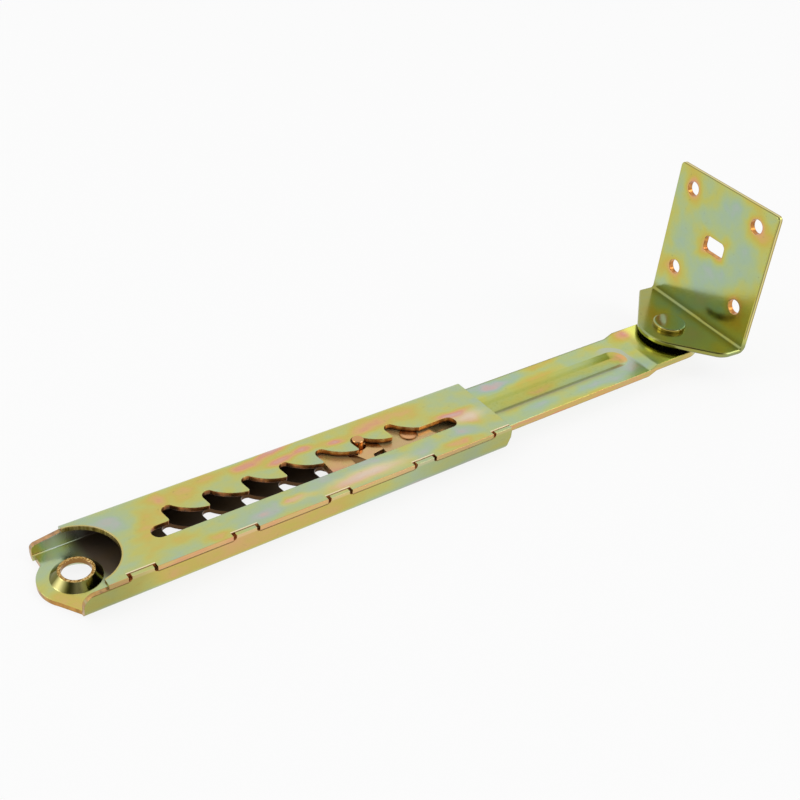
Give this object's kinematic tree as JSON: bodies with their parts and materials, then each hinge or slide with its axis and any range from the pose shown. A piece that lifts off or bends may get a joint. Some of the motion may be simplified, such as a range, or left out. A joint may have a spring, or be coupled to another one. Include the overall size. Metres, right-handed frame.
{
  "type": "headrest ratchet hinge",
  "caption": "Flat ratchet hinge for a sofa headrest: a pin on a sliding arm catches in the toothed slot of a folded casing, and a screw bracket pivots on the arm's end.",
  "frame": {"origin": "on the axis of the casing's pivot bore, at the bore's lower rim", "axes": "+X along the casing from the bore to the bracket, +Y to the folded back wall, +Z along the bore out of the toothed plate"},
  "size_m": [0.2616, 0.0497, 0.064],
  "materials": {
    "zinc_sheet": "yellow zinc plated",
    "zinc_bar": "yellow zinc plated",
    "slide_steel": "yellow zinc plated",
    "pin_steel": "yellow zinc plated",
    "spring_steel": "oiled wire",
    "post_steel": "yellow zinc plated",
    "zinc_bracket": "yellow zinc plated",
    "rivet_steel": "yellow zinc plated",
    "washer_steel": "yellow zinc plated"
  },
  "bodies": {
    "casing": {"casing": "zinc_sheet"},
    "arm": {"arm": "zinc_bar", "pivot_rivet": "rivet_steel", "spacer_washer": "washer_steel", "spring_post": "post_steel", "pin_spring": "spring_steel"},
    "slide": {"pin_slide": "slide_steel", "ratchet_pin": "pin_steel"},
    "bracket": {"bracket": "zinc_bracket"}
  },
  "joints": [
    {"name": "arm_slide", "type": "slide", "parent": "casing", "child": "arm", "axis": [1, 0, 0], "range_m": [-0.06485, 0.01297]},
    {"name": "pin_shift", "type": "slide", "parent": "arm", "child": "slide", "axis": [0, 1, 0], "range_m": [-0.0064, 0], "stiffness_N_per_m": 300, "springref_m": 0.004, "deforming": ["pin_spring"]},
    {"name": "bracket_pivot", "type": "hinge", "parent": "arm", "child": "bracket", "pos_m": [0.23303, 0.0018, 0], "axis": [0, 0, 1], "range_deg": [-90, 90]}
  ]
}
